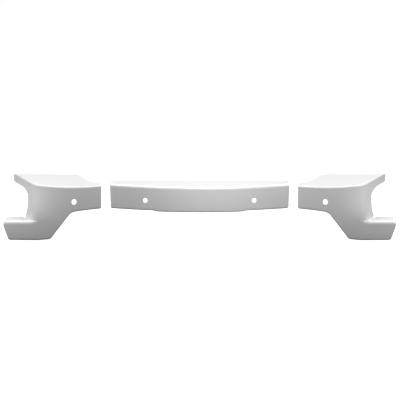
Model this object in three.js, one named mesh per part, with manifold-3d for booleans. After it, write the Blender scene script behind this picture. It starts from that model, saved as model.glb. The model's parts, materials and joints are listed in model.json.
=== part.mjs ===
// Three-piece bumper cover set for the step bumper of a full-size pickup: a centre cover and two corner covers,
// moulded thin and open at the back, with the foam tapes, film liners, gaskets and rubber pads fixed inside them.
// Millimetres, +Z up. The outer faces look along -Y. Left and right are as seen from in front of those faces.
// The origin is on the back of the centre cover's middle pad, where that pad rests on the steel bumper.
import * as THREE from "three";
import { mergeVertices } from "three/addons/utils/BufferGeometryUtils.js";
import Module from "manifold-3d";

// Shells
const wall = 3;
const flangeDepth = 24;
const notchFlange = 12.5; // depth of the flange round the notch and the arm, square to the face
const faceLean = 2460; // radius of the slow curve that tucks every face under
const centreEdgeRadius = 13;
const cornerEdgeRadius = 8;
const endTurn = THREE.MathUtils.degToRad(6); // every end runs inwards this much towards its back

// Centre cover
const centreHalfWidth = 476;
const centreEndSlant = 5;
const centreHeight = 139;
const centreBow = 2217; // plan radius of the face
const centreShelfBack = 110; // straight back edge of the shelf, behind the foremost line of the face
const tabDrop = 6;
const tabHalfWidth = 222;
const tabSlope = 26; // run of each sloped end of the tab

// Corner covers. "Out" is the distance from the inner end and "down" the depth below the shelf.
const layGap = 44.5; // between the centre cover and a corner cover as the set is laid out
const cornerSetBack = 7.5;
const cornerHeight = 134.5; // at the inner end
const cornerCrest = 155; // where the face comes furthest forward
const cornerBow = 492;
const wrapStart = 355;
const wrapAngle = THREE.MathUtils.degToRad(58.5);
const wrapBlend = 38;
const lobeFlatStart = 169.5; // past here the lower face runs straight
const armLength = 467.5;
const armHeight = 46.5;
const notchOut = 389;
const notchLean = 5; // the upright of the notch leans out this much on its way down
const notchFlare = 18; // how far the foot of the notch swings out
const notchFlareHeight = 36;
const ledgeDown = 199;
const ledgeDepth = 68;
const lobeLength = 526;
const lobeSlant = 32;
const lobeBottom = 312;
const lobeTopInset = 4; // the end of the lobe meets the ledge this much further in
const sweepLead = 76; // where the lower edge leaves the level
const sweepStart = 161; // where it turns down
const sweepDrop = 13; // how far it has fallen by there
const sweepEnd = 272.5; // where it meets the bottom of the lobe
const toeRise = 8; // the bottom of the lobe starts this much higher
const toeRun = 57; // and takes this long to come level
const shelfDeep = 204.5; // back edge of the shelf
const shelfDeepStart = 128;
const shelfStep = 93;
const shelfStepOut = 70;
const shelfEnd = 58.5;

// How far each rounded corner of an outline reaches along its sides
const tabRound = 10;
const leadRound = 57;
const sweepRound = 25;
const lobeRound = 19;
const smallRound = 6;
const notchRound = 47;
const flareRound = 23;
const armTipRound = 23;

// Parking sensor holes
const centreHoleOut = 288.5;
const centreHoleDown = 80.5;
const centreHoleRadius = 12.8;
const cornerHoleOut = 145.5;
const cornerHoleDown = 85;
const cornerHoleRadius = 14.7;

// Fixings inside the shells
const seat = 0.3; // clearance between two pieces that touch
const tapeWidth = 14;
const tapeThickness = 2;
const tapeInset = 9; // from the inside of an edge to the tape beside it
const tapeGap = 6; // between the ends of neighbouring tapes
const linerThickness = 0.5;
const pullTab = 12; // how far a liner runs past its tape
const middleTapeLength = 284;
const shelfTapeStart = 28;
const shelfTapeEnd = 416;
const cornerShelfTapeEnd = 393;
const notchTapeRise = 15; // from the ledge up to the foot of the tape
const gasketRim = 1.5;
const gasketWidth = 8;
const gasketThickness = 3;
const padBack = 9; // from the outer face to the flat back of a pad
const padWidth = 40;
const padHeight = 28;
const centrePadOut = 200;
const centrePadDown = centreHeight / 2;
const cornerPadDown = 40;
const lobePadOut = 445;
const lobePadDown = (ledgeDown + lobeBottom) / 2;

const edge = wall + tapeInset; // from an outline to the near side of the tape along it
const farEdge = edge + tapeWidth;
const margin = 1; // how far a face runs past the outline that trims it
const beyond = 1000; // further than any face or shelf reaches

const wasm = await Module();
wasm.setup();

const covering = new THREE.MeshStandardMaterial({ color: 0xdadbdc, roughness: 0.12, metalness: 0 });
const foam = new THREE.MeshStandardMaterial({ color: 0x55575a, roughness: 0.9, metalness: 0 });
const film = new THREE.MeshStandardMaterial({ color: 0xb3242a, roughness: 0.35, metalness: 0 });
const sponge = new THREE.MeshStandardMaterial({ color: 0x1d1e20, roughness: 0.95, metalness: 0 });
const rubber = new THREE.MeshStandardMaterial({ color: 0x27282a, roughness: 0.8, metalness: 0 });

// A closed three.js geometry as a solid that can be cut and joined.
function solidOf(geometry) {
  const bare = geometry.index ? geometry.clone() : geometry;
  bare.deleteAttribute("normal");
  bare.deleteAttribute("uv");
  const merged = mergeVertices(bare, 1e-4);
  return new wasm.Manifold(
    new wasm.Mesh({
      numProp: 3,
      vertProperties: merged.attributes.position.array,
      triVerts: new Uint32Array(merged.index.array),
    }),
  );
}

function meshOf(name, solid, material, mirror) {
  const made = solid.getMesh();
  const position = Float32Array.from(made.vertProperties);
  const index = Uint32Array.from(made.triVerts);
  if (mirror) {
    for (let i = 0; i < position.length; i += 3) position[i] *= -1;
    for (let i = 0; i < index.length; i += 3) [index[i], index[i + 1]] = [index[i + 1], index[i]];
  }
  const geometry = new THREE.BufferGeometry();
  geometry.setAttribute("position", new THREE.BufferAttribute(position, 3));
  geometry.setIndex(new THREE.BufferAttribute(index, 1));
  geometry.computeVertexNormals();
  const mesh = new THREE.Mesh(geometry, material);
  mesh.name = name;
  return mesh;
}

function joined(solids) {
  return solids.reduce((whole, piece) => whole.add(piece));
}

// Evenly spaced values from a to b, no further apart than step.
function spaced(a, b, step) {
  const count = Math.max(1, Math.ceil((b - a) / step));
  return Array.from({ length: count + 1 }, (_, i) => a + ((b - a) * i) / count);
}

// The values in rising order, without any that lies within a millimetre of the one before.
function ordered(values) {
  return values.sort((a, b) => a - b).filter((value, i, all) => !i || value - all[i - 1] > 1);
}

function distinct(points) {
  return points.filter((p, i) => !i || p.distanceTo(points[i - 1]) > 1e-6);
}

// An open line through points of [out, down, reach], each corner rounded off over its reach.
function rounded(points) {
  const at = (i) => new THREE.Vector2(points[i][0], points[i][1]);
  const path = new THREE.Path();
  path.moveTo(points[0][0], points[0][1]);
  for (let i = 1; i < points.length - 1; i++) {
    const corner = at(i);
    const reach = points[i][2] || 0;
    const before = corner.clone().add(at(i - 1).sub(corner).setLength(reach));
    const after = corner.clone().add(at(i + 1).sub(corner).setLength(reach));
    path.lineTo(before.x, before.y);
    if (reach) path.quadraticCurveTo(corner.x, corner.y, after.x, after.y);
  }
  path.lineTo(points.at(-1)[0], points.at(-1)[1]);
  return distinct(path.getPoints(5));
}

// The stretch of a line between two lengths along it.
function stretch(line, from, to) {
  let gone = 0;
  const kept = [];
  for (let i = 1; i < line.length; i++) {
    const run = line[i].distanceTo(line[i - 1]);
    const [a, b] = [from, to].map((length) => THREE.MathUtils.clamp((length - gone) / run, 0, 1));
    if (b > a) kept.push(line[i - 1].clone().lerp(line[i], a), line[i - 1].clone().lerp(line[i], b));
    gone += run;
  }
  return distinct(kept);
}

// The line moved sideways by a distance, to the left of its direction of travel in a view with down drawn down.
function moved(line, distance) {
  return line.map((p, i) => {
    const into = p.clone().sub(line[Math.max(i - 1, 0)]);
    const out = line[Math.min(i + 1, line.length - 1)].clone().sub(p);
    const first = (i ? into : out).clone().normalize();
    const second = (i < line.length - 1 ? out : into).clone().normalize();
    const normal = new THREE.Vector2(first.y + second.y, -first.x - second.x).normalize();
    const miter = Math.max(0.5, normal.x * first.y - normal.y * first.x);
    return p.clone().addScaledVector(normal, distance / miter);
  });
}

function bandAlong(line, near, far) {
  return [...moved(line, near), ...moved(line, far).reverse()];
}

function rectangle(out0, down0, out1, down1) {
  return [
    new THREE.Vector2(out0, down0),
    new THREE.Vector2(out1, down0),
    new THREE.Vector2(out1, down1),
    new THREE.Vector2(out0, down1),
  ];
}

function disc(out, down, radius, segments = 32) {
  return new THREE.Path().absarc(out, down, radius, 0, 2 * Math.PI).getPoints(segments).slice(0, -1);
}

// Everything inside a front-view outline, from in front of the faces to behind the shelves. A hole is given the
// same way round as its outline, and is turned here.
function behind(outline, hole) {
  const flat = (points) => points.map((p) => new THREE.Vector2(p.x, -p.y));
  const shape = new THREE.Shape(flat(outline));
  if (hole) shape.holes.push(new THREE.Path(flat(hole).reverse()));
  const geometry = new THREE.ExtrudeGeometry(shape, { depth: 2 * beyond, bevelEnabled: false });
  return solidOf(geometry.rotateX(Math.PI / 2).translate(0, beyond, 0));
}

// A level plate with its top at a depth below the shelf.
function plate(outline, down, thickness) {
  const shape = new THREE.Shape(outline);
  const geometry = new THREE.ExtrudeGeometry(shape, { depth: thickness, bevelEnabled: false });
  return solidOf(geometry.translate(0, 0, -down - thickness));
}

// The room inside a cover's end, as deep as a thickness. The end stands at a point of the plan and looks to a side,
// 1 for +X or -1, and it slants in by an angle on its way down.
function endRoom(side, out, back, slant, thickness) {
  const room = new THREE.BoxGeometry(thickness, 2 * beyond, 2 * beyond);
  room.translate((-side * thickness) / 2, 0, 0).rotateY(side * slant).rotateZ(side * endTurn);
  return solidOf(room.translate(out, back, 0));
}

// A face is a forward-looking surface: base(out, down) is how far back it lies. Its skin is measured square to its
// plan curve, and its top edge rolls back over a quarter circle.
function rollBack(down, radius) {
  const left = Math.max(radius - down, 0);
  return radius - Math.sqrt(radius * radius - left * left);
}

function lean(down) {
  return (down * down) / (2 * faceLean);
}

function backOf(face, out, down, offset) {
  const step = 0.5;
  const slope = (face.base(out + step, down) - face.base(out - step, down)) / (2 * step);
  const roll = face.edgeRadius ? rollBack(down, face.edgeRadius) : 0;
  return face.base(out, down) + (offset + roll) * Math.hypot(1, slope);
}

// The line of a face at one depth, in the middle of its wall.
function wallLine(face, columns, down) {
  return columns.map((out) => new THREE.Vector2(out, backOf(face, out, down, wall / 2)));
}

// The closed slab between two offsets of a face: a divided box bent to the face.
function skin(face, near, far) {
  const { columns, rows } = face;
  const across = columns.length - 1;
  const high = rows.length - 1;
  const geometry = new THREE.BoxGeometry(1, 1, 1, across, 1, high);
  const position = geometry.attributes.position;
  for (let i = 0; i < position.count; i++) {
    const out = columns[Math.round((position.getX(i) + 0.5) * across)];
    const down = rows[Math.round((0.5 - position.getZ(i)) * high)];
    const offset = position.getY(i) < 0 ? near : far;
    position.setXYZ(i, out, backOf(face, out, down, offset), -down);
  }
  return solidOf(geometry);
}

// Close rows over the rolled edge at the top of a face.
function rollRows(radius) {
  return [0, 0.12, 0.4, 1].map((share) => share * radius);
}

const centreFace = {
  base: (out, down) => (out * out) / (2 * centreBow) + lean(down),
  edgeRadius: centreEdgeRadius,
  columns: spaced(-centreHalfWidth - margin, centreHalfWidth + margin, 42),
  rows: [...rollRows(centreEdgeRadius), ...spaced(4 * centreEdgeRadius, centreHeight + tabDrop + margin, 55)],
};

function arcBack(out) {
  return (out - cornerCrest) ** 2 / (2 * cornerBow);
}

// The bow of a corner cover in plan up to a place, and from there straight on at the slope it has reached.
function bowTo(end, out) {
  const slope = (end - cornerCrest) / cornerBow;
  return out < end ? arcBack(out) : arcBack(end) + slope * (out - end);
}

// What the wrap round the corner adds: a ramp that eases in over the blend.
function wrap(out) {
  const slope = Math.tan(wrapAngle) - (wrapStart - cornerCrest) / cornerBow;
  const run = THREE.MathUtils.clamp(out - wrapStart + wrapBlend / 2, 0, wrapBlend);
  return slope * ((run * run) / (2 * wrapBlend) + Math.max(out - wrapStart - wrapBlend / 2, 0));
}

// Columns that the upper and lower face share, up to just short of where the wrap begins to ease in.
const bowEnd = wrapStart - wrapBlend / 2 - 2;
const bowColumns = spaced(-margin, bowEnd, 28);

// The upper face turns by degrees from its own plan line at the shelf to that of the lower face at the ledge.
const upperFace = {
  base(out, down) {
    const share = THREE.MathUtils.smoothstep(down, 0, ledgeDown);
    return THREE.MathUtils.lerp(bowTo(wrapStart, out), bowTo(lobeFlatStart, out), share) + wrap(out) + lean(down);
  },
  edgeRadius: cornerEdgeRadius,
  columns: ordered([
    ...bowColumns,
    ...spaced(wrapStart - wrapBlend / 4, wrapStart + wrapBlend / 2, wrapBlend / 4),
    ...spaced(wrapStart + wrapBlend, armLength + margin, 28),
  ]),
  rows: [...rollRows(cornerEdgeRadius), ...spaced(4 * cornerEdgeRadius, ledgeDown, 36)],
};

const lowerFace = {
  base: (out, down) => bowTo(lobeFlatStart, out) + lean(down),
  columns: [...bowColumns, ...spaced(wrapStart, lobeLength + margin, 62)],
  rows: spaced(ledgeDown, lobeBottom + margin, 40),
};

// The bow of a corner cover from below the sensor hole to the bottom of the lobe, for the tape along its lower edge.
const bowFace = {
  base: upperFace.base,
  columns: bowColumns,
  rows: spaced(ledgeDown / 2, lobeBottom + margin, 36),
};

// The bottom edge of the centre cover from one end to the other, running past both.
function centreLowerEdge() {
  const half = rounded([
    [0, centreHeight + tabDrop],
    [tabHalfWidth, centreHeight + tabDrop, tabRound],
    [tabHalfWidth + tabSlope, centreHeight, tabRound],
    [centreHalfWidth + margin, centreHeight],
  ]);
  const mirrored = half.slice(1).map((p) => new THREE.Vector2(-p.x, p.y));
  return [...mirrored.reverse(), ...half];
}

function centreShell() {
  const width = centreHalfWidth + margin;
  const lowerEdge = centreLowerEdge();
  const shelf = plate(
    [
      ...wallLine(centreFace, centreFace.columns, 0),
      new THREE.Vector2(width, centreShelfBack),
      new THREE.Vector2(-width, centreShelfBack),
    ],
    0,
    wall,
  );
  const thick = skin(centreFace, 0, flangeDepth);
  const flange = thick.intersect(behind(bandAlong(lowerEdge, 0, wall)));
  let shell = joined([skin(centreFace, 0, wall), flange, shelf]);
  const back = centreFace.base(centreHalfWidth, 0);
  const slant = Math.atan(centreEndSlant / centreHeight);
  for (const side of [-1, 1]) {
    const room = (thickness) => endRoom(side, side * centreHalfWidth, back, slant, thickness);
    shell = shell.add(thick.intersect(room(wall))).intersect(room(2 * beyond));
    shell = shell.subtract(behind(disc(side * centreHoleOut, centreHoleDown, centreHoleRadius)));
  }
  return shell.intersect(behind([new THREE.Vector2(-width, 0), ...lowerEdge, new THREE.Vector2(width, 0)]));
}

// Lower edge of a corner cover, from past the inner end round to the outer end of the ledge.
function cornerLowerEdge() {
  return rounded([
    [-margin, cornerHeight],
    [sweepLead, cornerHeight, leadRound],
    [sweepStart, cornerHeight + sweepDrop, sweepRound],
    [sweepEnd, lobeBottom - toeRise, sweepRound],
    [sweepEnd + toeRun, lobeBottom, sweepRound],
    [lobeLength - lobeSlant, lobeBottom, lobeRound],
    [lobeLength, ledgeDown + smallRound, smallRound],
    [lobeLength - lobeTopInset, ledgeDown],
  ]);
}

// Edge of the step notch, from the foot of the notch up and round under the arm to the top of its tip.
function notchEdge() {
  return rounded([
    [notchOut + notchFlare, ledgeDown],
    [notchOut + notchLean, ledgeDown - notchFlareHeight, flareRound],
    [notchOut, armHeight, notchRound],
    [armLength, armHeight, smallRound],
    [armLength, 0, armTipRound],
    [armLength - 2 * armTipRound, 0],
  ]);
}

function cornerShelf() {
  const front = wallLine(upperFace, upperFace.columns, 0).filter((p) => p.y < shelfDeep);
  return plate(
    [
      ...front,
      new THREE.Vector2(front.at(-1).x, shelfDeep),
      new THREE.Vector2(shelfDeepStart, shelfDeep),
      new THREE.Vector2(shelfStepOut, shelfStep),
      new THREE.Vector2(-margin, shelfEnd),
    ],
    0,
    wall,
  );
}

// The tread of the step: it starts at the foot of the wrap and runs out to the end of the lobe.
function cornerLedge() {
  const foot = wallLine(upperFace, spaced(bowEnd, notchOut + notchFlare, 16), ledgeDown);
  const front = wallLine(lowerFace, spaced(bowEnd, lobeLength + margin, 42), ledgeDown);
  const back = lowerFace.base(lobeLength, ledgeDown) + ledgeDepth;
  return plate(
    [
      ...front,
      new THREE.Vector2(lobeLength + margin, back),
      new THREE.Vector2(foot.at(-1).x - 2 * wall, back),
      ...foot.reverse().slice(0, -1),
    ],
    ledgeDown,
    wall,
  );
}

function cornerShell() {
  const outline = behind([new THREE.Vector2(-margin, 0), ...cornerLowerEdge(), ...notchEdge()]);
  const lowerBand = behind(bandAlong(cornerLowerEdge(), 0, wall));
  const notchBand = behind(bandAlong(notchEdge().filter((p) => p.y >= armTipRound), 0, wall));
  const room = (thickness) => endRoom(-1, 0, arcBack(0), 0, thickness);
  const upperThick = skin(upperFace, 0, flangeDepth);
  const whole = joined([
    skin(upperFace, 0, wall),
    skin(lowerFace, 0, wall),
    upperThick.intersect(lowerBand),
    skin(upperFace, 0, notchFlange).intersect(notchBand),
    upperThick.intersect(room(wall)),
    skin(lowerFace, 0, flangeDepth).intersect(lowerBand),
    cornerShelf(),
    cornerLedge(),
  ]);
  const hole = behind(disc(cornerHoleOut, cornerHoleDown, cornerHoleRadius));
  return whole.intersect(outline).intersect(room(2 * beyond)).subtract(hole);
}

// A layer fixed behind a face, with a front-view outline.
function layer(face, outline, front, thickness, hole) {
  return skin(face, front, front + thickness).intersect(behind(outline, hole));
}

const tapeFront = wall + seat;
const linerFront = tapeFront + tapeThickness + seat;

// Foam tape with its liner on the back of a face. The tail is the outline of the liner, longer than the tape.
function faceTape(name, face, outline, tail) {
  return [
    [name + "_tape", layer(face, outline, tapeFront, tapeThickness), foam],
    [name + "_liner", layer(face, tail, linerFront, linerThickness), film],
  ];
}

// The same on the underside of a shelf, with plan outlines.
function shelfTape(name, outline, tail) {
  return [
    [name + "_tape", plate(outline, tapeFront, tapeThickness), foam],
    [name + "_liner", plate(tail, linerFront, linerThickness), film],
  ];
}

function gasket(name, face, out, down, radius) {
  const inner = radius + gasketRim;
  const [rim, hole] = [disc(out, down, inner + gasketWidth, 24), disc(out, down, inner, 24)];
  return [[name, layer(face, rim, tapeFront, gasketThickness, hole), sponge]];
}

// A pad follows the face in front and has a flat back.
function pad(name, face, out, down) {
  const [reach, drop] = [padWidth / 2, padHeight / 2];
  const block = layer(face, rectangle(out - reach, down - drop, out + reach, down + drop), tapeFront, 2 * padBack);
  const back = face.base(out, down) + padBack;
  const room = new THREE.BoxGeometry(2 * beyond, 2 * beyond, 2 * beyond);
  return [[name, block.intersect(solidOf(room.translate(0, back - beyond, 0))), rubber]];
}

function centrePieces() {
  const low = centreHeight - edge;
  const top = centreEdgeRadius + tapeInset;
  const endOut = centreHalfWidth - centreEndSlant - edge;
  const lowEnd = endOut - tapeWidth - tapeGap;
  const shelfBack = centreShelfBack - tapeInset;
  const middle = middleTapeLength / 2;
  const lowStart = middle + pullTab + tapeGap;
  const pieces = [
    ["centre_cover", centreShell(), covering],
    ...pad("centre_middle_pad", centreFace, 0, centrePadDown),
    ...faceTape(
      "centre_lower_middle",
      centreFace,
      rectangle(-middle, low - tapeWidth, middle, low),
      rectangle(-middle, low - tapeWidth, middle + pullTab, low),
    ),
  ];
  for (const [side, sign] of Object.entries({ left: -1, right: 1 })) {
    const span = (out0, down0, out1, down1) =>
      rectangle(Math.min(sign * out0, sign * out1), down0, Math.max(sign * out0, sign * out1), down1);
    pieces.push(
      ...pad(`centre_${side}_pad`, centreFace, sign * centrePadOut, centrePadDown),
      ...gasket(`centre_${side}_gasket`, centreFace, sign * centreHoleOut, centreHoleDown, centreHoleRadius),
      ...faceTape(
        `centre_lower_${side}`,
        centreFace,
        span(lowStart + pullTab, low - tapeWidth, lowEnd, low),
        span(lowStart, low - tapeWidth, lowEnd, low),
      ),
      ...faceTape(
        `centre_end_${side}`,
        centreFace,
        span(endOut - tapeWidth, top, endOut, low - pullTab),
        span(endOut - tapeWidth, top, endOut, low),
      ),
      ...shelfTape(
        `centre_shelf_${side}`,
        span(shelfTapeStart, shelfBack - tapeWidth, shelfTapeEnd, shelfBack),
        span(shelfTapeStart - pullTab, shelfBack - tapeWidth, shelfTapeEnd, shelfBack),
      ),
    );
  }
  return pieces;
}

function cornerPieces(side) {
  const name = (what) => `${side}_corner_${what}`;
  const top = cornerEdgeRadius + tapeInset;
  const endLow = cornerHeight - edge;
  const shelfTapeBack = shelfDeep - tapeInset;
  const shelfTapeIn = shelfDeepStart + tapeWidth + tapeGap;
  const sweep = cornerLowerEdge().filter((p) => p.x < sweepEnd - tapeWidth);
  const sweepIn = farEdge + tapeGap;
  const notch = notchEdge();
  const notchTop = ledgeDown - armHeight - notchRound;
  const toeIn = sweepEnd + toeRun;
  const toeOut = lobeLength - lobeSlant - lobeRound;
  const armTop = (armHeight - tapeWidth) / 2;
  const armTapeIn = notchOut - edge;
  const armTapeOut = armLength - edge;
  return [
    [name("cover"), cornerShell(), covering],
    ...pad(name("pad"), upperFace, cornerCrest, cornerPadDown),
    ...pad(name("lobe_pad"), lowerFace, lobePadOut, lobePadDown),
    ...gasket(name("gasket"), upperFace, cornerHoleOut, cornerHoleDown, cornerHoleRadius),
    ...shelfTape(
      name("shelf"),
      rectangle(shelfTapeIn, shelfTapeBack - tapeWidth, cornerShelfTapeEnd, shelfTapeBack),
      rectangle(shelfTapeIn - pullTab, shelfTapeBack - tapeWidth, cornerShelfTapeEnd, shelfTapeBack),
    ),
    ...faceTape(
      name("end"),
      upperFace,
      rectangle(edge, top, farEdge, endLow - pullTab),
      rectangle(edge, top, farEdge, endLow),
    ),
    ...faceTape(
      name("sweep"),
      bowFace,
      bandAlong(stretch(sweep, sweepIn + pullTab, Infinity), edge, farEdge),
      bandAlong(stretch(sweep, sweepIn, Infinity), edge, farEdge),
    ),
    ...faceTape(
      name("lobe"),
      lowerFace,
      rectangle(toeIn, lobeBottom - farEdge, toeOut, lobeBottom - edge),
      rectangle(toeIn - pullTab, lobeBottom - farEdge, toeOut, lobeBottom - edge),
    ),
    ...faceTape(
      name("notch"),
      upperFace,
      bandAlong(stretch(notch, notchTapeRise, notchTop), edge, farEdge),
      bandAlong(stretch(notch, notchTapeRise - pullTab, notchTop), edge, farEdge),
    ),
    ...faceTape(
      name("arm"),
      upperFace,
      rectangle(armTapeIn, armTop, armTapeOut - pullTab, armTop + tapeWidth),
      rectangle(armTapeIn, armTop, armTapeOut, armTop + tapeWidth),
    ),
  ];
}

function groupOf(pieces, x, y, mirror) {
  const group = new THREE.Group();
  for (const [name, solid, material] of pieces) group.add(meshOf(name, solid, material, mirror));
  group.position.set(x, y, centrePadDown);
  return group;
}

const coverSet = new THREE.Group();
const crownY = -(lean(centrePadDown) + padBack);
const cornerX = centreHalfWidth + layGap;
coverSet.add(groupOf(centrePieces(), 0, crownY, false));
coverSet.add(groupOf(cornerPieces("left"), -cornerX, crownY + cornerSetBack, true));
coverSet.add(groupOf(cornerPieces("right"), cornerX, crownY + cornerSetBack, false));

export default coverSet;
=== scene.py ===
import json
import math

import bmesh
import bpy
import numpy as np
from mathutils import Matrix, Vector

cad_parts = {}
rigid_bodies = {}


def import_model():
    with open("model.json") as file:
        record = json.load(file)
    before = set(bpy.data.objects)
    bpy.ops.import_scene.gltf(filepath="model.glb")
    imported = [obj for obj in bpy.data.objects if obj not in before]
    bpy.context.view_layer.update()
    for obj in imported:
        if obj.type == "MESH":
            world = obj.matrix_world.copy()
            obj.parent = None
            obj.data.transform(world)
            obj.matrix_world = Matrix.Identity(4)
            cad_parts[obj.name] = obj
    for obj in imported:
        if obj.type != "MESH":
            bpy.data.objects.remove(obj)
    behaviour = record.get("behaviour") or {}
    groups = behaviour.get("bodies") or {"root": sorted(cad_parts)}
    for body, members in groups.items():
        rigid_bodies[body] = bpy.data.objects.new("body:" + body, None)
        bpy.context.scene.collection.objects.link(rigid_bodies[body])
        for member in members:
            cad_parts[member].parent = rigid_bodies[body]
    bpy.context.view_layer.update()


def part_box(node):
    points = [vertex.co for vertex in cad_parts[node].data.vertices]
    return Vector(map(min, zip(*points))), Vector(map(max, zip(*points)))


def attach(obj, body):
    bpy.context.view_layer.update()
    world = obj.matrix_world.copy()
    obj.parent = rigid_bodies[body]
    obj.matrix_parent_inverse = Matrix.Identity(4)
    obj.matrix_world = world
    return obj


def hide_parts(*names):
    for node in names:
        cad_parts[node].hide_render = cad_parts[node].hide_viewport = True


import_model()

bl_info = {
    "name": "Step bumper cover set",
    "version": (1, 0, 0),
    "blender": (4, 5, 0),
    "location": "3D View > Sidebar > Bumper Covers",
    "description": "Builds a three-piece bumper cover set, with its gaskets and pads, round its frame",
    "category": "Object",
}

# The frame: where each cover's shelf, crest and ends are. Metres, +Z up, the faces look along -Y.
CENTRE_LOW, CENTRE_HIGH = (np.array(corner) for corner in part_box("centre_cover"))
CORNER_LOW = np.array(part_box("right_corner_cover")[0])
SHELF_TOP = CENTRE_HIGH[2]
SIDES = {"left": -1, "right": 1}
MM = 0.001

# How finely the surfaces are drawn
CURVE_STEPS = 10  # in a rounding of an outline
CURVE_POINTS = CURVE_STEPS + 1
ROLL_STEPS = 8  # round a top edge
TURN_STEPS = 6  # round the foot and the front of the tread
TURN_IN_ROWS = 5  # round an edge that turns in, and along its flange
CORNER_ROWS = 7  # round the lower corners of the centre cover
SHELF_ROWS = {"centre": 16, "corner": 22}
TREAD_ROWS = 10
WRAP_COLUMNS = 25
ARM_COLUMNS = 9
LOBE_COLUMNS = 23
HOLE_RINGS = 6
GASKET_COLUMNS = 65  # round the hole
GASKET_ROWS = 33  # round the section
PAD_COLUMNS = 97  # round the outline
PAD_RINGS = 14  # from the middle of a pad out to its edge
PAD_EDGE_ROWS = 6  # round each edge of a pad
COLUMN_STOPS = [-1, -0.55, 0, 0.55, 1]  # places across the centre cover that hold a column

# Shares, angles and small distances that have no setting of their own
END_INSET = 0.7  # of the turn: how far inside its end the centre cover begins to turn in
HOLE_ROOM = {"centre": 1.5, "corner": 1.4}  # half of the square that a hole is cut in, in hole radii
GASKET_SQUARED = 0.4  # power that squares up the section of a gasket
PAD_SQUARED = 0.25  # power that squares up the outline of a pad
SHARP = math.radians(50)  # an edge that turns more than this is rounded
TREAD_FALL = 0.6 * MM  # from the back of the tread to its front
MOST_ROUNDED = 0.45  # share of the tread's depth that one of its roundings may take
WELD = 0.02 * MM  # points of two grids this close are one


def length(name, description, millimetres):
    """A length property, with its default given in millimetres."""
    return bpy.props.FloatProperty(
        name=name, description=description, default=millimetres * MM, unit="LENGTH", precision=4
    )


def angle(name, description, degrees):
    """An angle property, with its default given in degrees."""
    return bpy.props.FloatProperty(
        name=name, description=description, default=math.radians(degrees), subtype="ANGLE"
    )


def colour(name, description, rgb):
    """A linear colour property."""
    return bpy.props.FloatVectorProperty(
        name=name, description=description, default=rgb, size=3, subtype="COLOR", min=0, max=1
    )


def factor(name, description, value):
    """A plain number from 0 to 1."""
    return bpy.props.FloatProperty(
        name=name, description=description, default=value, min=0, max=1, subtype="FACTOR"
    )


class ShellSizes(bpy.types.PropertyGroup):
    """Sizes that every moulded cover shares."""

    wall: length("Wall", "Thickness of the moulding", 3)
    flange: length("Flange", "Depth of the edges that turn in", 24)
    lip: length("Lip", "Depth of the turned edge at the end of a shelf", 7)
    turn: length("Turn", "Radius at which an upright edge turns in", 5)
    low: length("Lower turn", "Radius at which a lower edge turns in", 12)
    rim: length("Rim", "Rounding of the free edges", 0.7)
    lean: length("Lean", "Radius of the slow curve that tucks a face under", 2460)
    end_turn: angle("End turn", "How far an end runs inwards towards its back", 6)
    corner: length("Corner", "Rounding of the lower corners beside the seam", 4)
    step: length("Grid step", "Largest distance between the points of a surface", 6)


class CentreSizes(bpy.types.PropertyGroup):
    """Sizes of the centre cover."""

    height: length("Height", "Height of the face at its ends", 139)
    bow: length("Bow", "Plan radius of the face", 2217)
    edge: length("Edge", "Radius of the top edge", 13)
    slant: length("Slant", "How far an end runs in on its way down", 5)
    shelf: length("Shelf", "Depth of the shelf in the middle", 110)
    tab_drop: length("Tab drop", "How far the tab hangs below the ends", 6)
    tab_half: length("Tab half width", "Half the length of the tab", 222)
    tab_slope: length("Tab slope", "Run of each sloped end of the tab", 26)
    tab_round: length("Tab rounding", "Reach of the roundings of the tab", 10)
    hole_out: length("Hole place", "From the middle to a sensor hole", 288.5)
    hole_down: length("Hole depth", "From the shelf down to a sensor hole", 80.5)
    hole: length("Hole radius", "Half the width of a sensor hole", 12.2)
    hole_high: length("Hole half height", "Half the height of a sensor hole", 13.8)


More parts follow.
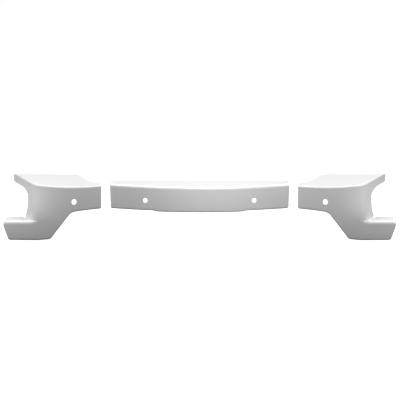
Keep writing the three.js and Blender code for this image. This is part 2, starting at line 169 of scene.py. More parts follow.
class CornerSizes(bpy.types.PropertyGroup):
    """Sizes of a corner cover. Out is measured from its inner end and down from its shelf."""

    height: length("Height", "Height of the face at the inner end", 134.5)
    crest: length("Crest", "Where the face comes furthest forward", 155)
    bow: length("Bow", "Plan radius of the face", 492)
    edge: length("Edge", "Radius of the top edge", 8)
    wrap_start: length("Wrap start", "Where the face begins to wrap round the corner", 355)
    wrap_angle: angle("Wrap angle", "Slope of the wrap in plan", 58.5)
    wrap_blend: length("Wrap blend", "Length over which the wrap eases in", 38)
    flat_start: length("Lobe flat", "Past here the lower face runs straight", 169.5)
    arm: length("Arm", "Length of the arm", 467.5)
    arm_height: length("Arm height", "Height of the arm", 46.5)
    arm_round: length("Arm rounding", "Reach of the rounding at the tip", 23)
    notch: length("Notch", "Where the notch's upright stands", 389)
    notch_lean: length("Notch lean", "How far the upright leans out", 5)
    notch_round: length("Notch rounding", "Reach of the rounding under the arm", 47)
    flare: length("Flare", "How far the foot of the notch swings out", 18)
    flare_height: length("Flare height", "Height over which it swings out", 36)
    flare_round: length("Flare rounding", "Reach of its rounding", 23)
    ledge: length("Ledge", "From the shelf down to the tread", 199)
    ledge_depth: length("Tread depth", "Depth of the tread at its outer end", 68)
    foot_round: length("Foot rounding", "Radius where the tread meets the upright face", 6)
    tread_round: length("Tread rounding", "Radius of the tread's front edge", 15)
    lobe: length("Lobe", "From the inner end to the end of the lobe", 526)
    lobe_slant: length("Lobe slant", "How far the end of the lobe runs in on its way down", 32)
    lobe_bottom: length("Lobe bottom", "From the shelf down to the bottom of the lobe", 312)
    lobe_round: length("Lobe rounding", "Reach of the rounding at its outer corner", 19)
    lobe_top: length("Lobe top", "Rounding where the end of the lobe meets the tread", 18)
    sweep_lead: length("Sweep lead", "Where the lower edge leaves the level", 76)
    sweep_lead_round: length("Lead rounding", "Reach of the rounding there", 57)
    sweep_start: length("Sweep start", "Where the lower edge turns down", 161)
    sweep_drop: length("Sweep drop", "How far it has fallen by there", 13)
    sweep_end: length("Sweep end", "Where it reaches the lobe", 272.5)
    sweep_round: length("Sweep rounding", "Reach of the roundings of the sweep", 25)
    toe_rise: length("Toe rise", "How much higher the bottom of the lobe starts", 8)
    toe_round: length("Toe rounding", "Reach of the rounding where the lobe starts", 13)
    toe_run: length("Toe run", "How long it takes to come level", 57)
    shelf: length("Shelf", "Back edge of the shelf", 204.5)
    shelf_start: length("Shelf start", "Where the back edge comes level", 128)
    shelf_step: length("Shelf step", "Back edge where it turns", 93)
    shelf_step_out: length("Shelf turn", "Where it turns", 70)
    shelf_end: length("Shelf end", "Back edge at the inner end", 58.5)
    shelf_round: length("Shelf rounding", "Reach of the roundings of its turns", 30)
    hole_out: length("Hole place", "From the inner end to the sensor hole", 145.5)
    hole_down: length("Hole depth", "From the shelf down to the sensor hole", 85)
    hole: length("Hole radius", "Half the width of the sensor hole", 13)
    hole_high: length("Hole half height", "Half the height of the sensor hole", 15.8)


class InsideSizes(bpy.types.PropertyGroup):
    """Sizes of the gaskets and pads behind the faces."""

    front: length("Front", "From the outer face to the front of a gasket or pad", 3.3)
    gasket_rim: length("Gasket rim", "From the edge of a hole to its gasket", 1)
    gasket_width: length("Gasket width", "Width of a gasket's ring", 8)
    gasket_depth: length("Gasket depth", "Thickness of a gasket", 3)
    pad_width: length("Pad width", "Width of a pad", 40)
    pad_height: length("Pad height", "Height of a pad", 28)
    pad_back: length("Pad back", "From the outer face to the flat back of a pad", 9)
    pad_round: length("Pad rounding", "Rounding of a pad's edges", 1.2)
    groove: length("Groove", "Depth of the grooves across the back of a pad", 0.9)
    groove_pitch: length("Groove pitch", "From one groove to the next", 8)
    centre_pad: length("Centre pads", "From the middle to an outer pad of the centre cover", 200)
    corner_pad_down: length("Corner pad", "From the shelf down to the upper pad of a corner", 40)
    lobe_pad: length("Lobe pad", "From the inner end to the pad on the lobe", 445)


class Finishes(bpy.types.PropertyGroup):
    """Colours and gloss of the pieces."""

    cover: colour("Cover", "Gloss white of the mouldings", (0.80, 0.80, 0.80))
    cover_rough: factor("Cover roughness", "Roughness of the moulded gloss", 0.16)
    foam: colour("Foam", "Closed-cell foam of the tapes", (0.085, 0.088, 0.092))
    film: colour("Film", "Red film of the release liners", (0.50, 0.018, 0.022))
    sponge: colour("Sponge", "Sponge of the gaskets", (0.014, 0.014, 0.016))
    rubber: colour("Rubber", "Rubber of the pads", (0.024, 0.025, 0.027))


class StageSettings(bpy.types.PropertyGroup):
    """Floor, light and camera."""

    elevation: angle("Elevation", "Height of the camera above the horizon", 20)
    distance: bpy.props.FloatProperty(
        name="Distance", description="From the camera to the covers", default=60, unit="LENGTH"
    )
    width: bpy.props.FloatProperty(
        name="Width", description="Width that the view takes in", default=2.12, unit="LENGTH"
    )
    sideways: length("Sideways", "From the middle of the set to the middle of the view", 1.9)
    drop: length("Drop", "From the shelf's front edge down to the middle of the view", 70.5)
    floor: colour("Floor", "Colour of the floor", (0.93, 0.93, 0.93))


# Lines and surfaces, as whole arrays.


def rounded(points):
    """An open line through rows of (out, down, reach). Each corner is replaced by a quadratic curve that
    leaves the sides at its reach from the corner and has the corner as its middle control point."""
    points = np.array(points, float)
    line = [points[:1, :2]]
    share = np.linspace(0, 1, CURVE_POINTS)[:, None]
    for before, corner, after in zip(points[:-2], points[1:-1], points[2:]):
        sides = [side[:2] - corner[:2] for side in (before, after)]
        start, end = (corner[:2] + side / np.linalg.norm(side) * corner[2] for side in sides)
        line.append((1 - share) ** 2 * start + 2 * share * (1 - share) * corner[:2] + share**2 * end)
    return np.vstack([*line, points[-1:, :2]])


def moved(line, upright, level):
    """The line moved sideways, to the left of its travel where down is drawn down: every point goes along
    the mean normal of its two sides, by the distance over the cosine of half the turn. The distance runs
    from the one for upright lines to the one for level lines with the square of the normal's downward
    part."""
    sides = np.diff(line, axis=0)
    sides /= np.maximum(np.linalg.norm(sides, axis=1, keepdims=True), 1e-9)
    first = np.vstack([sides[:1], sides])
    second = np.vstack([sides, sides[-1:]])
    normal = np.stack([first[:, 1] + second[:, 1], -first[:, 0] - second[:, 0]], axis=1)
    normal /= np.linalg.norm(normal, axis=1, keepdims=True)
    miter = np.maximum(0.5, normal[:, 0] * first[:, 1] - normal[:, 1] * first[:, 0])
    return line + normal * (mixed(upright, level, normal[:, 1] ** 2) / miter)[:, None]


def filled(stations, step):
    """The stations with evenly spaced values put in between, no further apart than the step."""
    parts = []
    for a, b in zip(stations[:-1], stations[1:]):
        parts.append(np.linspace(a, b, max(2, int(math.ceil((b - a) / step)) + 1))[:-1])
    return np.append(np.concatenate(parts), stations[-1])


def ease(value, start, end):
    """0 before start, 1 after end, and 3t^2 - 2t^3 between them."""
    share = np.clip((value - start) / (end - start), 0, 1)
    return share * share * (3 - 2 * share)


def mixed(a, b, share):
    """From a to b by a share."""
    return a + (b - a) * share


def arc_in(depth, radius):
    """How far a rounded corner has drawn in at a depth into its last stretch: radius minus the root of
    radius^2 - depth^2."""
    depth = np.clip(depth, 0, radius)
    return radius - np.sqrt(np.maximum(radius**2 - depth**2, 0))


def unit(vectors):
    """The vectors brought to a length of one."""
    return vectors / np.maximum(np.linalg.norm(vectors, axis=-1, keepdims=True), 1e-12)


class Skin:
    """An outer surface gathered from grids of points, whose seams are welded into one mesh."""

    def __init__(self):
        self.points = []
        self.quads = []
        self.count = 0

    def add(self, grid, keep=None):
        """Adds a grid of points, rows going down and columns going +X as seen from the front. keep is a
        mask of the quads that are kept."""
        rows, columns = grid.shape[:2]
        index = np.arange(rows * columns).reshape(rows, columns) + self.count
        quads = np.stack([index[:-1, :-1], index[1:, :-1], index[1:, 1:], index[:-1, 1:]], axis=-1)
        self.quads.append(quads[keep] if keep is not None else quads.reshape(-1, 4))
        self.points.append(grid.reshape(-1, 3))
        self.count += rows * columns

    def make(self, name, mirror=False):
        """The welded mesh as an object. Mirrored, it is turned over in X with its faces still outwards."""
        points = np.vstack(self.points)
        quads = np.vstack(self.quads)
        if mirror:
            points = points * [-1, 1, 1]
            quads = quads[:, ::-1]
        mesh = bpy.data.meshes.new(name)
        mesh.from_pydata(points.tolist(), [], quads.tolist())
        welded = bmesh.new()
        welded.from_mesh(mesh)
        bmesh.ops.remove_doubles(welded, verts=welded.verts, dist=WELD)
        loose = [vert for vert in welded.verts if not vert.link_faces]
        bmesh.ops.delete(welded, geom=loose, context="VERTS")
        for face in welded.faces:
            face.smooth = True
        welded.to_mesh(mesh)
        welded.free()
        piece = bpy.data.objects.new(name, mesh)
        bpy.context.scene.collection.objects.link(piece)
        return piece


def turned_edge(line, outward, back, plate, sizes, low, sway):
    """The rounded turn and flange along an edge of a surface, as a grid. The line is travelled with the
    surface on its left. From it the surface runs on outwards by the turn radius, which grows to low where
    the edge looks down, and bends over a quadratic curve to the rim: back to the flange's depth, and no
    higher than a lip below the plate. Points already further back turn straight down instead. The sway
    moves the rim in X for each unit that it lies back."""
    turn = mixed(sizes.turn, low, outward[:, 2:] ** 2)
    reach = line + outward * turn
    rim = reach.copy()
    rim[:, 1] = np.maximum(reach[:, 1], back)
    rim[:, 2] = np.minimum(reach[:, 2], plate - sizes.lip)
    rim[:, 0] += (rim[:, 1] - reach[:, 1]) * sway
    along = unit(rim - reach)
    bend = reach + along * turn
    share = np.linspace(0, 1, TURN_IN_ROWS)[:, None, None]
    curve = (1 - share) ** 2 * line + 2 * share * (1 - share) * reach + share**2 * bend
    flat = mixed(bend, rim, share[1:])
    return np.concatenate([curve, flat])


def outward_of(line, normal):
    """Directions that lie in a surface and point off its edge: travel along the edge crossed with the
    normal."""
    return unit(np.cross(unit(np.gradient(line, axis=0)), normal))


def normals_of(grid):
    """Normals of a grid that face forwards and up: the step down its rows crossed with the step along
    them."""
    return unit(np.cross(np.gradient(grid, axis=0), np.gradient(grid, axis=1)))


def ring_round(block, centre, sizes, surface):
    """Rings from the border of a block of a grid in to a hole. The border's places, as (out, down), move
    straight to the point of the hole's ellipse at their own angle, and surface(out, down) gives each ring
    its place."""
    top, bottom = block[0], block[-1]
    border = np.vstack([top, block[1:, -1], bottom[-2::-1], block[-2::-1, 0]])
    angles = np.arctan2(border[:, 1] - centre[1], border[:, 0] - centre[0])
    hole = np.stack([np.cos(angles) * sizes.hole, np.sin(angles) * sizes.hole_high], axis=1) + centre
    share = np.linspace(0, 1, HOLE_RINGS)[:, None, None]
    rings = mixed(border, hole, share)
    return surface(rings[..., 0], rings[..., 1])


def hole_block(out, down, centre, half):
    """The rows and columns of a grid that just enclose a square round a hole, as (row0, row1, column0,
    column1)."""
    column = np.argmin(np.abs(out - centre[0]).mean(axis=0))
    row = np.argmin(np.abs(down[:, column] - centre[1]))
    rows = down[:, column]
    columns = out[row]
    return (
        np.flatnonzero(rows <= centre[1] - half)[-1],
        np.flatnonzero(rows >= centre[1] + half)[0],
        np.flatnonzero(columns <= centre[0] - half)[-1],
        np.flatnonzero(columns >= centre[0] + half)[0],
    )


def lean(down, shell):
    """How far a face has drawn back at a depth: down squared over twice the radius of its curve."""
    return down**2 / (2 * shell.lean)


def rolled(radius):
    """The quarter circle from a shelf down to a face, as depths and set-backs: radius (1 - cos) and
    radius (1 - sin) of an angle from 0 to 90 degrees."""
    angles = np.linspace(0, np.pi / 2, ROLL_STEPS + 1)
    return radius * (1 - np.cos(angles)), radius * (1 - np.sin(angles))


def finish_shell(piece, shell, body, material, node):
    """Gives a surface its wall, inwards, and rounds the free edges."""
    solid = piece.modifiers.new("Wall", "SOLIDIFY")
    solid.thickness = shell.wall
    solid.offset = -1
    solid.use_even_offset = True
    solid.thickness_clamp = 1.0
    rim = piece.modifiers.new("Rim", "BEVEL")
    rim.width = shell.rim
    rim.segments = 2
    rim.limit_method = "ANGLE"
    rim.angle_limit = SHARP
    rim.use_clamp_overlap = True
    piece.data.materials.append(material)
    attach(piece, body)
    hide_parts(node)


class CentreShape:
    """The face of the centre cover in plan and profile. Out is X and down is measured from the shelf."""

    def __init__(self, shell, sizes):
        self.shell, self.sizes = shell, sizes
        self.half = CENTRE_HIGH[0]
        self.crown = CENTRE_LOW[1]

    def back(self, out, down):
        """Set-back from the crown: out squared over twice the bow, and the lean."""
        return out**2 / (2 * self.sizes.bow) + lean(down, self.shell)

    def place(self, out, down, behind=0):
        """The point of the face at a place, moved back by a distance."""
        back = self.crown + self.back(out, down) + behind
        return np.stack([out, back, SHELF_TOP - down + 0 * out], axis=-1)

    def behind(self, out, down, distance):
        """The point a distance behind the face."""
        return self.place(out, down, distance)

    def lower_line(self):
        """Lower edge of the surface, from the middle outwards: the tab, its slope and the level end."""
        s = self.sizes
        line = [
            (0, s.height + s.tab_drop, 0),
            (s.tab_half, s.height + s.tab_drop, s.tab_round),
            (s.tab_half + s.tab_slope, s.height, s.tab_round),
            (self.half + self.shell.turn, s.height, 0),
        ]
        return moved(rounded(line), self.shell.turn, self.shell.low)


def build_centre(shell, sizes):
    """Surface of the centre cover. Its grid runs down the rows from the back of the shelf, round the top
    edge and down the face; each row is as wide as the cover is there. The ends and the lower edge turn
    in."""
    shape = CentreShape(shell, sizes)
    lower = shape.lower_line()
    lowest = sizes.height - shell.low
    fixed = 2 * sizes.edge
    depths, roll = rolled(sizes.edge)
    shelf_share = np.linspace(0, 1, SHELF_ROWS["centre"])[:-1]
    corner = shell.corner * np.sin(np.linspace(0, np.pi / 2, CORNER_ROWS))[1:]
    face = filled([sizes.edge, fixed, lowest - shell.corner], shell.step)[1:]
    downs = np.concatenate([0 * shelf_share, depths, face, lowest - shell.corner + corner])
    rolls = np.concatenate([0 * shelf_share + sizes.edge, roll, 0 * face, 0 * corner])
    shares = np.concatenate([1 - shelf_share, 0 * depths, 0 * face, 0 * corner])

    end_back = shape.back(shape.half, 0)
    behind = rolls + shares * (sizes.shelf - end_back - sizes.edge)
    width = shape.half - END_INSET * shell.turn - sizes.slant * downs / sizes.height
    width = width - behind * math.tan(shell.end_turn) - arc_in(downs - lowest + shell.corner, shell.corner)
    columns = filled(COLUMN_STOPS, shell.step / shape.half)
    out = columns[None, :] * width[:, None]
    scale = (np.interp(np.abs(out), *lower.T) - fixed) / (lowest - fixed)
    down = np.where(downs[:, None] <= fixed, downs[:, None], fixed + (downs[:, None] - fixed) * scale)
    steep = np.hypot(1, out / sizes.bow)
    front = shape.back(out, down) + rolls[:, None] * steep
    grid = shape.place(out, down)
    grid[..., 1] = shape.crown + mixed(front, sizes.shelf, shares[:, None])

    skin = Skin()
    keep = np.ones((len(downs) - 1, len(columns) - 1), bool)
    for side in SIDES.values():
        centre = np.array([side * sizes.hole_out, sizes.hole_down])
        r0, r1, c0, c1 = hole_block(out, down, centre, HOLE_ROOM["centre"] * sizes.hole)
        keep[r0:r1, c0:c1] = False
        block = np.stack([out, down], axis=-1)[r0 : r1 + 1, c0 : c1 + 1]
        skin.add(ring_round(block, centre, sizes, shape.place))
    skin.add(grid, keep)

    normals = normals_of(grid)
    line, normal = (np.vstack([g[:, 0], g[-1, 1:], g[-2::-1, -1]]) for g in (grid, normals))
    below = np.concatenate([down[:, 0], down[-1, 1:], down[-2::-1, -1]])
    at_end = ease(np.abs(line[:, 0]), shape.half - 3 * shell.corner, shape.half - 2 * shell.turn)
    across = np.where(at_end > 0, np.sign(line[:, 0]) * shape.half, line[:, 0])
    rim_back = shape.crown + shape.back(across, below) + shell.flange
    sway = -np.sign(line[:, 0]) * at_end * math.tan(shell.end_turn)
    skin.add(turned_edge(line, outward_of(line, normal), rim_back, SHELF_TOP, shell, shell.low, sway))
    return skin


class CornerShape:
    """The faces of the right corner cover. Out is measured from its inner end and down from the shelf."""

    def __init__(self, shell, sizes):
        self.shell, self.sizes = shell, sizes
        self.inner = CORNER_LOW[0]
        self.crest = CORNER_LOW[1]
        self.blend_start = sizes.wrap_start - sizes.wrap_blend / 2

    def bow(self, out, end):
        """The bow in plan up to a place, and from there on straight: (out - crest) squared over twice the
        radius, then its tangent."""
        s = self.sizes
        arc = (np.minimum(out, end) - s.crest) ** 2 / (2 * s.bow)
        return arc + (end - s.crest) / s.bow * np.maximum(out - end, 0)

    def wrap(self, out):
        """What the wrap adds: nothing, then a parabola over the blend, then a straight ramp."""
        s = self.sizes
        slope = math.tan(s.wrap_angle) - (s.wrap_start - s.crest) / s.bow
        run = np.clip(out - self.blend_start, 0, s.wrap_blend)
        return slope * (run**2 / (2 * s.wrap_blend) + np.maximum(out - self.blend_start - s.wrap_blend, 0))

    def lower(self, out, down):
        """Set-back without the wrap: from the upper plan line at the shelf over to the lower one at the
        ledge."""
        s = self.sizes
        top, bottom = self.bow(out, s.wrap_start), self.bow(out, s.flat_start)
        return mixed(top, bottom, ease(down, 0, s.ledge)) + lean(down, self.shell)

    def upper(self, out, down):
        """Set-back of the upper face: the one without the wrap, and the wrap."""
        return self.lower(out, down) + self.wrap(out)

    def steep(self, out, down):
        """Length of the plan line for each unit of out: the root of 1 and the slope squared."""
        step = 0.5 * MM
        slope = (self.upper(out + step, down) - self.upper(out - step, down)) / (2 * step)
        return np.hypot(1, slope)

    def place(self, out, down, back=None):
        """The point at a place of the upper face, or at a set-back of its own."""
        back = self.upper(out, down) if back is None else back
        return np.stack([self.inner + out, self.crest + back, SHELF_TOP - down + 0 * out], axis=-1)

    def behind(self, out, down, distance):
        """The point a distance behind the face."""
        return self.place(out, down, self.upper(out, down) + distance)

    def behind_lobe(self, out, down, distance):
        """The point a distance behind the lobe, which has no wrap."""
        return self.place(out, down, self.lower(out, down) + distance)

    def shelf_back(self, out):
        """Back edge of the shelf: straight lines with rounded corners, from the inner end to where it
        comes level."""
        s = self.sizes
        line = rounded([
            (0, s.shelf_end, 0),
            (s.shelf_step_out, s.shelf_step, s.shelf_round),
            (s.shelf_start, s.shelf, s.shelf_round),
            (s.wrap_start, s.shelf, 0),
        ])
        return np.interp(out, *line.T)

    def lower_line(self):
        """Lower edge, from the inner end round the lobe up to the tread, inset by the turn."""
        s = self.sizes
        top = s.lobe_top
        line = [
            (-self.shell.corner, s.height, 0),
            (s.sweep_lead, s.height, s.sweep_lead_round),
            (s.sweep_start, s.height + s.sweep_drop, s.sweep_round),
            (s.sweep_end, s.lobe_bottom - s.toe_rise, s.toe_round),
            (s.sweep_end + s.toe_run, s.lobe_bottom, s.sweep_round),
            (s.lobe - s.lobe_slant, s.lobe_bottom, s.lobe_round),
            (s.lobe, s.ledge + top, top),
            (s.lobe - top, s.ledge, 0),
        ]
        return moved(rounded(line), self.shell.turn, self.shell.low)

    def notch_line(self):
        """Edge of the notch, from its foot up and out under the arm to the rounding below the tip, inset."""
        s = self.sizes
        line = [
            (s.notch + s.flare, s.ledge, 0),
            (s.notch + s.notch_lean, s.ledge - s.flare_height, s.flare_round),
            (s.notch, s.arm_height, s.notch_round),
            (s.arm, s.arm_height, 2 * self.shell.turn),
            (s.arm, s.arm_round, 0),
        ]
        turn = self.shell.turn
        return moved(rounded(line), turn / self.steep(s.notch, s.arm_height), turn)


def build_corner(shell, sizes):
    """Surface of the right corner cover, in three grids that share their seams: the body from the inner
    end to the notch, the arm, and the outer lobe with its tread. Rows run from the back of the shelf over
    the rolled edge and down the upper face, round the foot, across the tread, round its front edge and
    down the lobe. Towards the inner end the rows close up to the lower edge, where there is no tread."""
    shape = CornerShape(shell, sizes)
    lower, notch = shape.lower_line(), shape.notch_line()
    lobe_start = len(lower) - 2 * CURVE_POINTS - 1  # where the lobe's outer corner begins to round
    arm_start = 2 * CURVE_POINTS  # end of the rounding under the arm
    notch, tip = notch[arm_start::-1], notch[arm_start + 1 :]
    lobe_end = lower[lobe_start:][::-1]
    lowest = lower[lobe_start, 1]
    fixed = 2 * sizes.edge

    # Depths of the rows
    depths, roll = rolled(sizes.edge)
    shelf_share = np.linspace(0, 1, SHELF_ROWS["corner"])[:-1]
    tip_turn = tip[CURVE_STEPS::-2, 1]
    above_turn = filled([sizes.edge, fixed, tip_turn[0]], shell.step)[1:]
    arm = np.concatenate([above_turn, tip_turn[1:], notch[:1, 1]])
    foot_top = sizes.ledge - sizes.foot_round
    upright = filled(np.append(notch[1:, 1][notch[1:, 1] < foot_top - MM], foot_top), shell.step)
    turns = np.linspace(0, np.pi / 2, TURN_STEPS + 1)[1:]
    foot = sizes.ledge - sizes.foot_round * (1 - np.sin(turns))
    across = np.linspace(0, 1, TREAD_ROWS)[1:]
    tread = sizes.ledge + TREAD_FALL * across
    nose = tread[-1] + sizes.tread_round * (1 - np.cos(turns))
    lobe = filled([nose[-1], lobe_end[-CURVE_POINTS, 1]], shell.step)[1:]
    lobe = np.concatenate([lobe, lobe_end[-CURVE_STEPS:, 1]])
    downs = np.concatenate([0 * shelf_share, depths, arm, upright, foot, tread, nose, lobe])
    rolls = np.concatenate([0 * shelf_share + sizes.edge, roll, 0 * downs[len(shelf_share) + len(roll) :]])
    shares = np.concatenate([1 - shelf_share, 0 * downs[len(shelf_share) :]])
    arm_rows = len(shelf_share) + len(roll) + len(arm)
    foot_row = arm_rows + len(upright) - 1
    tread_row = foot_row + len(foot)
    nose_row = tread_row + len(tread)
    is_foot, is_tread, is_nose = np.zeros((3, len(downs), 1))
    is_foot[foot_row + 1 : tread_row + 1, 0] = 1 - np.cos(turns)
    is_tread[tread_row + 1 : nose_row + 1, 0] = across
    is_nose[nose_row + 1 : nose_row + 1 + len(nose), 0] = 1 - np.sin(turns)
    past_tread = np.arange(len(downs))[:, None] > nose_row

    def set_back(out, down, ledge_back=None):
        """Set-back of the rows. The wrap stands off the lower face down to the foot, is spent across the
        tread between a concave and a convex quarter round, and is gone on the lobe."""
        stand = shape.wrap(out) if ledge_back is None else ledge_back - shape.lower(out, down)
        outer = np.minimum(sizes.tread_round, MOST_ROUNDED * stand)
        inner = np.minimum(sizes.foot_round, MOST_ROUNDED * stand) if ledge_back is None else 0
        above = stand - inner * is_foot
        tread_part = mixed(stand - inner, outer, is_tread)
        wrap_part = np.where(past_tread, outer * is_nose, np.where(is_tread > 0, tread_part, above))
        face = shape.lower(out, down) + wrap_part
        front = face + rolls[:, None] * shape.steep(out, down)
        shelf = np.maximum(shape.shelf_back(out), front + shell.wall)
        return mixed(front, shelf, shares[:, None])

    # Body
    upright_out = np.interp(downs, notch[:, 1], notch[:, 0])
    seam = np.where(np.arange(len(downs)) < arm_rows, notch[0, 0], upright_out)
    lowest_in = sizes.height - shell.low
    scale_in = (lowest_in - fixed) / (lowest - fixed)
    down_in = np.where(downs <= fixed, downs, fixed + (downs - fixed) * scale_in)
    end_behind = rolls + shares * (sizes.shelf_end - shape.upper(0, 0) - sizes.edge)
    start = shell.turn + end_behind * math.tan(shell.end_turn)
    start = start + arc_in(down_in - lowest_in + shell.corner, shell.corner)
    stops = [0, sizes.shelf_step_out, sizes.shelf_start, shape.blend_start]
    inner = filled(np.array(stops) / shape.blend_start, shell.step / shape.blend_start)
    body_in = mixed(start[:, None], shape.blend_start, inner[None, :])
    wrap_columns = np.linspace(0, 1, WRAP_COLUMNS)[1:]
    body_wrap = mixed(shape.blend_start, seam[:, None], wrap_columns[None, :])
    out = np.hstack([body_in, body_wrap])
    scale = (np.interp(out, *lower[: lobe_start + 1].T) - fixed) / (lowest - fixed)
    down = np.where(downs[:, None] <= fixed, downs[:, None], fixed + (downs[:, None] - fixed) * scale)
    body = shape.place(out, down, set_back(out, down))

    # Arm
    tip_line = [(sizes.arm, sizes.arm_height, 0), (sizes.arm, 0, sizes.arm_round), (sizes.notch, 0, 0)]
    tip_top = rounded(tip_line)[1:-1]
    tip_inset = shell.turn / shape.steep(sizes.arm, 0)
    tip_out = np.interp(downs, tip_top[::-1, 1], tip_top[::-1, 0] - tip_inset)
    low_tip = downs >= tip_turn[0]
    tip_low = tip[CURVE_STEPS::-1]
    tip_out = np.where(low_tip, np.interp(downs, tip_low[:, 1], tip_low[:, 0]), tip_out)
    arm_out = mixed(seam[:, None], tip_out[:, None], np.linspace(0, 1, ARM_COLUMNS))
    arm_down = downs[:, None] + 0 * arm_out
    arm_grid = shape.place(arm_out, arm_down, set_back(arm_out, arm_down))[:arm_rows]

    # Outer lobe and tread
    lobe_out = np.interp(downs, lobe_end[:, 1], lobe_end[:, 0])
    lobe_columns = mixed(seam[:, None], lobe_out[:, None], np.linspace(0, 1, LOBE_COLUMNS))
    lobe_down = downs[:, None] + 0 * lobe_columns
    full_back = shape.lower(sizes.lobe, sizes.ledge) + sizes.ledge_depth
    seam_back = shape.upper(seam[tread_row], sizes.ledge) - sizes.foot_round
    flare_end = seam[tread_row] + 3 * sizes.foot_round
    ledge_back = mixed(seam_back, full_back, ease(lobe_columns, seam[tread_row], flare_end))
    lobe_back = set_back(lobe_columns, lobe_down, ledge_back)
    outer = shape.place(lobe_columns, lobe_down, lobe_back)[tread_row:]

    skin = Skin()
    keep = np.ones((len(downs) - 1, out.shape[1] - 1), bool)
    centre = np.array([sizes.hole_out, sizes.hole_down])
    r0, r1, c0, c1 = hole_block(out, down, centre, HOLE_ROOM["corner"] * sizes.hole)
    keep[r0:r1, c0:c1] = False
    block = np.stack([out, down], axis=-1)[r0 : r1 + 1, c0 : c1 + 1]
    skin.add(ring_round(block, centre, sizes, shape.place))
    skin.add(body, keep)
    skin.add(arm_grid)
    skin.add(outer)

    # Inner end, lower edge and end of the lobe
    grids = [(g, normals_of(g)) for g in (body, arm_grid, outer)]
    line, normal = (
        np.vstack([b[:, 0], b[-1, 1:], o[-1, 1:], o[-2::-1, -1]]) for b, o in zip(grids[0], grids[2])
    )
    local_out = line[:, 0] - shape.inner
    local_down = SHELF_TOP - line[:, 2]
    at_end = 1 - ease(local_out, 2 * shell.turn, 3 * shell.corner)
    at_end[: len(downs)] = 1
    face_out = np.where(np.arange(len(line)) < len(downs), 0, local_out)
    rim_back = shape.crest + shape.lower(face_out, local_down) + shell.flange
    plate = np.full(len(line), SHELF_TOP)
    plate[-len(outer) :] = SHELF_TOP - sizes.ledge
    sway = at_end * math.tan(shell.end_turn)
    skin.add(turned_edge(line, outward_of(line, normal), rim_back, plate, shell, shell.low, sway))

    # Notch and arm
    line, normal = (
        np.vstack([b[foot_row : arm_rows - 1 : -1, -1], a[-1], a[-2::-1, -1]])
        for b, a in zip(grids[0], grids[1])
    )
    local_down = SHELF_TOP - line[:, 2]
    depth = mixed(shell.turn, shell.flange, ease(local_down, 0, sizes.arm_round))
    rim_back = line[:, 1] + depth
    skin.add(turned_edge(line, outward_of(line, normal), rim_back, SHELF_TOP, shell, shell.turn, 0))
    return skin


def power(value, exponent):
    """The sign of a value times its size to a power, which squares up a circle when the power is below
    one."""
    return np.sign(value) * np.abs(value) ** exponent


def build_gasket(behind, out, down, radius, sizes):
    """Ring round a hole: a squared-up ellipse carried round a circle. At an angle a of the circle and p
    of the section the radius is the middle one + width/2 cos(p)^0.4, and the distance behind the face is
    front + depth/2 (1 + sin(p)^0.4)."""
    turn = np.linspace(0, 2 * np.pi, GASKET_COLUMNS)[:, None]
    section = np.linspace(0, 2 * np.pi, GASKET_ROWS)[None, :]
    middle = radius + sizes.gasket_rim + sizes.gasket_width / 2
    reach = middle + sizes.gasket_width / 2 * power(np.cos(section), GASKET_SQUARED)
    depth = sizes.front + sizes.gasket_depth / 2 * (1 + power(np.sin(section), GASKET_SQUARED))
    skin = Skin()
    skin.add(behind(out + reach * np.cos(turn), down + reach * np.sin(turn), depth))
    return skin


def build_pad(behind, out, down, sizes):
    """Block with rounded edges: its outline is a squared-up ellipse, grown from a point on the front out
    to the full size, taken back, and closed again. The front follows the face, and the flat back has
    grooves across it, each with a depth of groove (0.5 + 0.5 cos)^3 of the place along the pad."""
    angles = np.linspace(2 * np.pi, 0, PAD_COLUMNS)[None, :]
    turns = np.linspace(0, np.pi / 2, PAD_EDGE_ROWS)
    wide, high = sizes.pad_width / 2, sizes.pad_height / 2
    inset = 1 - sizes.pad_round / high * (1 - np.sin(turns))
    edge = sizes.pad_round / (sizes.pad_back - sizes.front) * (1 - np.cos(turns))
    spread = np.linspace(0, inset[0], PAD_RINGS)[:-1]
    size = np.concatenate([spread, inset, inset[::-1], spread[::-1]])[:, None]
    share = np.concatenate([0 * spread, edge, 1 - edge[::-1], 1 + 0 * spread])[:, None]
    along = size * wide * power(np.cos(angles), PAD_SQUARED)
    across = size * high * power(np.sin(angles), PAD_SQUARED)
    front = behind(out + along, down + across, sizes.front)
    back = behind(out, down, sizes.pad_back)[1]
    groove = sizes.groove * (0.5 + 0.5 * np.cos(2 * np.pi * along / sizes.groove_pitch)) ** 3
    front[..., 1] = mixed(front[..., 1], back - groove, share)
    skin = Skin()
    skin.add(front)
    return skin


def finish_inside(piece, body, node, material):
    """Gives a gasket or pad its material, hangs it on the body that it rides, and hides the node that it
    stands for.
    """
    piece.data.materials.append(material)
    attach(piece, body)
    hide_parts(node)


# Materials. Every texture is placed by the piece's own Object coordinates.


